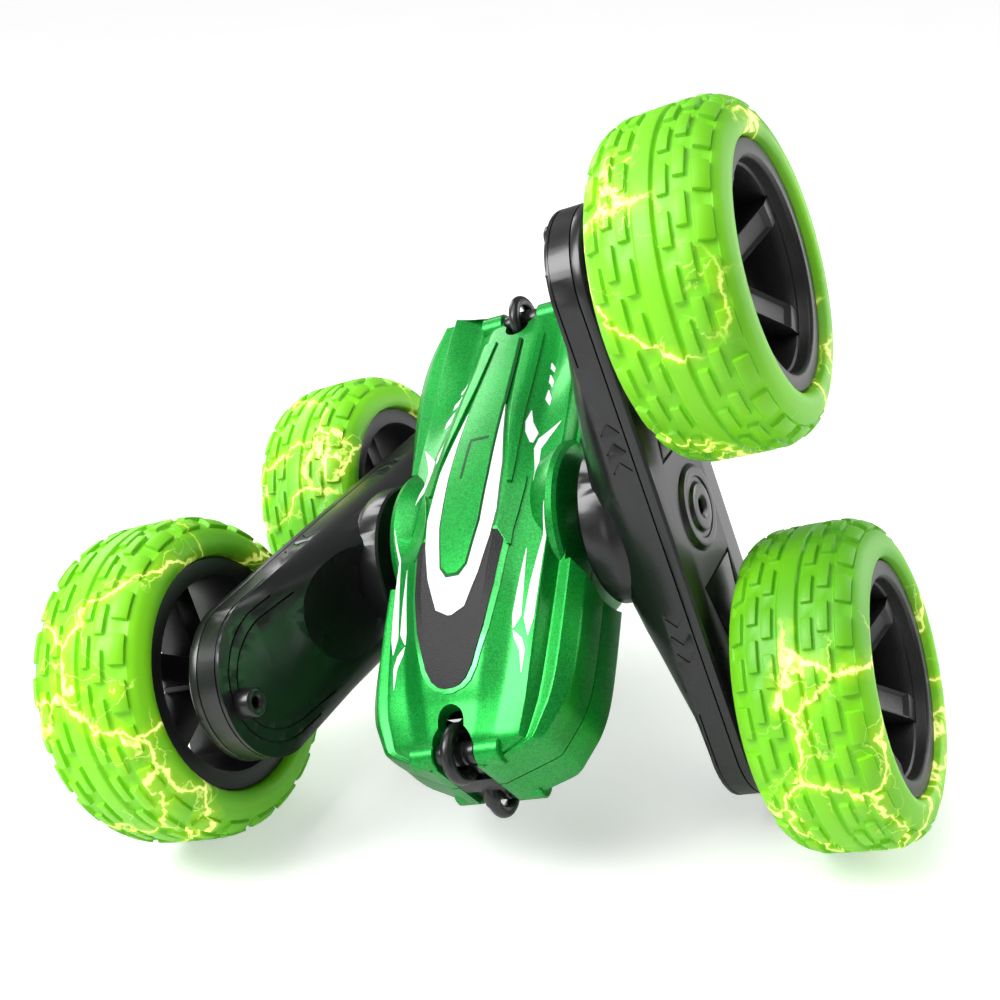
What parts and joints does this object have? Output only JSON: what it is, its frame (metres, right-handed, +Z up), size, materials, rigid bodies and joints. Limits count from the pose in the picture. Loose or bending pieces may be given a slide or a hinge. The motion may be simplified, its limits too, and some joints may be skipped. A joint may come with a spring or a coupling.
{
  "type": "rc stunt car",
  "caption": "Double-sided remote-control stunt car: two-shell body between two rotating gear arms, each with a pair of wide treaded wheels.",
  "frame": {"origin": "centre of the footprint on the floor that the three lower wheels stand on", "axes": "+X to the car's right across both arms (longest extent), +Y to the rear, +Z up; the nose points to -Y"},
  "size_m": [0.1734, 0.155, 0.1506],
  "materials": {
    "shell_green": "metallic-flake green, gloss",
    "windshield_grey": "fine grain, satin",
    "tyre_green": "soft matte rubber, lime green",
    "rim_black": "satin black",
    "arm_black": "high gloss black",
    "steel": "plated",
    "nylon_white": "moulded, satin",
    "cell_blue": "shrink film",
    "board_green": "solder mask",
    "inner_black": "moulded, satin"
  },
  "bodies": {
    "body": {"upper_shell": "shell_green", "lower_shell": "shell_green", "windshield_upper": "windshield_grey", "windshield_lower": "windshield_grey", "front_tow_bracket": "arm_black", "front_upper_tow_ring": "arm_black", "front_upper_tow_pin": "steel", "front_lower_tow_ring": "arm_black", "front_lower_tow_pin": "steel", "rear_tow_bracket": "arm_black", "rear_upper_tow_ring": "arm_black", "rear_upper_tow_pin": "steel", "rear_lower_tow_ring": "arm_black", "rear_lower_tow_pin": "steel", "body_screw_1": "steel", "body_screw_2": "steel", "body_screw_3": "steel", "body_screw_4": "steel", "battery_pack": "cell_blue", "circuit_board": "board_green", "power_switch_base": "inner_black", "charging_port": "steel", "left_gearmotor": "steel", "right_gearmotor": "steel", "left_hub_bush": "inner_black", "right_hub_bush": "inner_black"},
    "power_switch": {"power_switch_knob": "nylon_white"},
    "left_arm": {"left_arm_shell": "arm_black", "left_arm_cover": "arm_black", "left_front_cover_screw": "steel", "left_rear_cover_screw": "steel"},
    "left_front_wheel": {"left_front_tyre": "tyre_green", "left_front_rim": "rim_black", "left_front_axle": "steel", "left_front_wheel_gear": "nylon_white"},
    "left_rear_wheel": {"left_rear_tyre": "tyre_green", "left_rear_rim": "rim_black", "left_rear_axle": "steel", "left_rear_wheel_gear": "nylon_white"},
    "left_front_idler": {"left_front_idler_gear": "nylon_white"},
    "left_rear_idler": {"left_rear_idler_gear": "nylon_white"},
    "left_drive": {"left_drive_shaft": "steel", "left_sun_gear": "nylon_white"},
    "right_arm": {"right_arm_shell": "arm_black", "right_arm_cover": "arm_black", "right_lower_cover_screw": "steel", "right_upper_cover_screw": "steel"},
    "right_lower_wheel": {"right_lower_tyre": "tyre_green", "right_lower_rim": "rim_black", "right_lower_axle": "steel", "right_lower_wheel_gear": "nylon_white"},
    "right_upper_wheel": {"right_upper_tyre": "tyre_green", "right_upper_rim": "rim_black", "right_upper_axle": "steel", "right_upper_wheel_gear": "nylon_white"},
    "right_lower_idler": {"right_lower_idler_gear": "nylon_white"},
    "right_upper_idler": {"right_upper_idler_gear": "nylon_white"},
    "right_drive": {"right_drive_shaft": "steel", "right_sun_gear": "nylon_white"}
  },
  "joints": [
    {"name": "power_switch_slide", "type": "slide", "parent": "body", "child": "power_switch", "axis": [0.9402, 0, 0.3405], "range_m": [0, 0.004]},
    {"name": "left_arm_flip", "type": "hinge", "parent": "body", "child": "left_arm", "pos_m": [-0.00749, 0, 0.05461], "axis": [0.9402, 0, 0.3405], "continuous": true},
    {"name": "left_front_wheel_spin", "type": "hinge", "parent": "left_arm", "child": "left_front_wheel", "pos_m": [-0.06461, -0.044, 0.03392], "axis": [0.9402, 0, 0.3405], "continuous": true},
    {"name": "left_rear_wheel_spin", "type": "hinge", "parent": "left_arm", "child": "left_rear_wheel", "pos_m": [-0.06461, 0.044, 0.03392], "axis": [0.9402, 0, 0.3405], "continuous": true},
    {"name": "left_front_idler_spin", "type": "hinge", "parent": "left_arm", "child": "left_front_idler", "pos_m": [-0.04322, -0.02, 0.04167], "axis": [0.9402, 0, 0.3405], "continuous": true},
    {"name": "left_rear_idler_spin", "type": "hinge", "parent": "left_arm", "child": "left_rear_idler", "pos_m": [-0.04322, 0.02, 0.04167], "axis": [0.9402, 0, 0.3405], "continuous": true},
    {"name": "left_drive_spin", "type": "hinge", "parent": "left_arm", "child": "left_drive", "pos_m": [-0.00749, 0, 0.05461], "axis": [0.9402, 0, 0.3405], "continuous": true},
    {"name": "right_arm_flip", "type": "hinge", "parent": "body", "child": "right_arm", "pos_m": [-0.00749, 0, 0.05461], "axis": [0.9402, 0, 0.3405], "continuous": true},
    {"name": "right_lower_wheel_spin", "type": "hinge", "parent": "right_arm", "child": "right_lower_wheel", "pos_m": [0.06461, 0, 0.03392], "axis": [0.9402, 0, 0.3405], "continuous": true},
    {"name": "right_upper_wheel_spin", "type": "hinge", "parent": "right_arm", "child": "right_upper_wheel", "pos_m": [0.03465, 0, 0.11666], "axis": [0.9402, 0, 0.3405], "continuous": true},
    {"name": "right_lower_idler_spin", "type": "hinge", "parent": "right_arm", "child": "right_lower_idler", "pos_m": [0.03505, 0, 0.04874], "axis": [0.9402, 0, 0.3405], "continuous": true},
    {"name": "right_upper_idler_spin", "type": "hinge", "parent": "right_arm", "child": "right_upper_idler", "pos_m": [0.02143, 0, 0.08635], "axis": [0.9402, 0, 0.3405], "continuous": true},
    {"name": "right_drive_spin", "type": "hinge", "parent": "right_arm", "child": "right_drive", "pos_m": [-0.00749, 0, 0.05461], "axis": [0.9402, 0, 0.3405], "continuous": true}
  ],
  "couplings": [
    {"joint": "left_rear_wheel_spin", "follows": "left_front_wheel_spin", "ratio": 1},
    {"joint": "left_front_idler_spin", "follows": "left_front_wheel_spin", "ratio": -1},
    {"joint": "left_rear_idler_spin", "follows": "left_front_wheel_spin", "ratio": -1},
    {"joint": "left_drive_spin", "follows": "left_front_wheel_spin", "ratio": 1.5},
    {"joint": "right_upper_wheel_spin", "follows": "right_lower_wheel_spin", "ratio": 1},
    {"joint": "right_lower_idler_spin", "follows": "right_lower_wheel_spin", "ratio": -1},
    {"joint": "right_upper_idler_spin", "follows": "right_lower_wheel_spin", "ratio": -1},
    {"joint": "right_drive_spin", "follows": "right_lower_wheel_spin", "ratio": 1.5}
  ]
}
